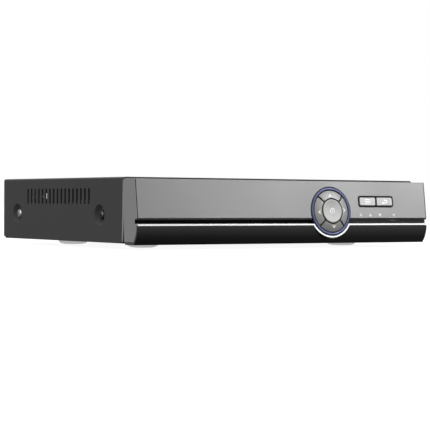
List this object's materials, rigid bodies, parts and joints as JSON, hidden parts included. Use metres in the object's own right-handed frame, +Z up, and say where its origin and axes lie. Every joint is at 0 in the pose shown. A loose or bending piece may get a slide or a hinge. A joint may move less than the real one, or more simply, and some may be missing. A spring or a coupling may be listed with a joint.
{
  "type": "dvr recorder",
  "caption": "Desktop video recorder: flat vented steel case, tilted front panel with ringed direction pad and menu keys, rear sockets, disk, boards and fan inside.",
  "frame": {"origin": "centre of the footprint, on the plane that the feet rest on", "axes": "+X right as seen from the front, +Y from front to back, +Z up"},
  "size_m": [0.255, 0.222, 0.0499],
  "materials": {
    "painted_steel": "fine matt powder coat",
    "zinc_steel": "zinc plated",
    "grey_panel": "satin metallic grey",
    "black_gloss": "piano gloss",
    "black_matt": "fine texture",
    "white_trim": "bright silver white",
    "smoked_lens": "smoked and polished",
    "blue_ring": "metallic blue",
    "silver_key": "silver paint",
    "light_key": "satin",
    "clear_rubber": "translucent grey",
    "green_board": "solder resist",
    "connector_metal": "nickel plated",
    "connector_black": "moulded",
    "cast_aluminium": "as cast",
    "lamp_red": "tinted",
    "lamp_green": "tinted",
    "cable_grey": "soft sleeve",
    "cable_red": "soft sleeve"
  },
  "bodies": {
    "case": {"base_tray": "painted_steel", "top_cover": "painted_steel", "side_screw_left_front": "zinc_steel", "side_screw_left_rear": "zinc_steel", "side_screw_right_front": "zinc_steel", "side_screw_right_rear": "zinc_steel", "rear_screw_left": "zinc_steel", "rear_screw_right": "zinc_steel", "foot_front_left": "clear_rubber", "foot_front_right": "clear_rubber", "foot_rear_left": "clear_rubber", "foot_rear_right": "clear_rubber", "front_bezel": "grey_panel", "lower_fascia": "black_gloss", "groove_strip": "black_gloss", "light_window": "smoked_lens", "trim_strip": "white_trim", "dpad_ring": "blue_ring", "dpad_well": "black_matt", "key_frame": "black_gloss", "up_switch": "black_matt", "down_switch": "black_matt", "left_switch": "black_matt", "right_switch": "black_matt", "ok_switch": "black_matt", "menu_switch": "black_matt", "escape_switch": "black_matt", "key_board": "green_board", "power_light": "lamp_green", "alarm_light": "lamp_red", "record_light": "lamp_red", "ir_receiver": "connector_black", "ribbon_cable": "cable_grey", "main_board": "green_board", "processor": "connector_black", "heat_sink": "cast_aluminium", "coin_cell": "connector_metal", "hard_disk": "cast_aluminium", "sata_data_cable": "cable_red", "sata_power_cable": "cable_grey", "fan_frame": "black_matt", "video_in_1": "connector_metal", "video_in_2": "connector_metal", "video_in_3": "connector_metal", "video_in_4": "connector_metal", "video_out": "connector_metal", "audio_jacks": "connector_black", "vga_port": "connector_metal", "hdmi_port": "connector_metal", "usb_port": "connector_metal", "lan_port": "connector_metal", "dc_jack": "connector_black"},
    "up_key": {"up_key": "silver_key"},
    "down_key": {"down_key": "silver_key"},
    "left_key": {"left_key": "silver_key"},
    "right_key": {"right_key": "silver_key"},
    "ok_key": {"ok_key": "silver_key"},
    "menu_key": {"menu_key": "light_key"},
    "escape_key": {"escape_key": "light_key"},
    "fan_rotor": {"fan_rotor": "black_matt"}
  },
  "joints": [
    {"name": "up_press", "type": "slide", "parent": "case", "child": "up_key", "axis": [0, 0.9913, -0.1313], "range_m": [0, 0.0006], "stiffness_N_per_m": 50},
    {"name": "down_press", "type": "slide", "parent": "case", "child": "down_key", "axis": [0, 0.9913, -0.1313], "range_m": [0, 0.0006], "stiffness_N_per_m": 50},
    {"name": "left_press", "type": "slide", "parent": "case", "child": "left_key", "axis": [0, 0.9913, -0.1313], "range_m": [0, 0.0006], "stiffness_N_per_m": 50},
    {"name": "right_press", "type": "slide", "parent": "case", "child": "right_key", "axis": [0, 0.9913, -0.1313], "range_m": [0, 0.0006], "stiffness_N_per_m": 50},
    {"name": "ok_press", "type": "slide", "parent": "case", "child": "ok_key", "axis": [0, 0.9913, -0.1313], "range_m": [0, 0.0006], "stiffness_N_per_m": 50},
    {"name": "menu_press", "type": "slide", "parent": "case", "child": "menu_key", "axis": [0, 0.9913, -0.1313], "range_m": [0, 0.0006], "stiffness_N_per_m": 50},
    {"name": "escape_press", "type": "slide", "parent": "case", "child": "escape_key", "axis": [0, 0.9913, -0.1313], "range_m": [0, 0.0006], "stiffness_N_per_m": 50},
    {"name": "fan_spin", "type": "hinge", "parent": "case", "child": "fan_rotor", "pos_m": [-0.1015, 0.0915, 0.0259], "axis": [0, 1, 0], "continuous": true}
  ]
}
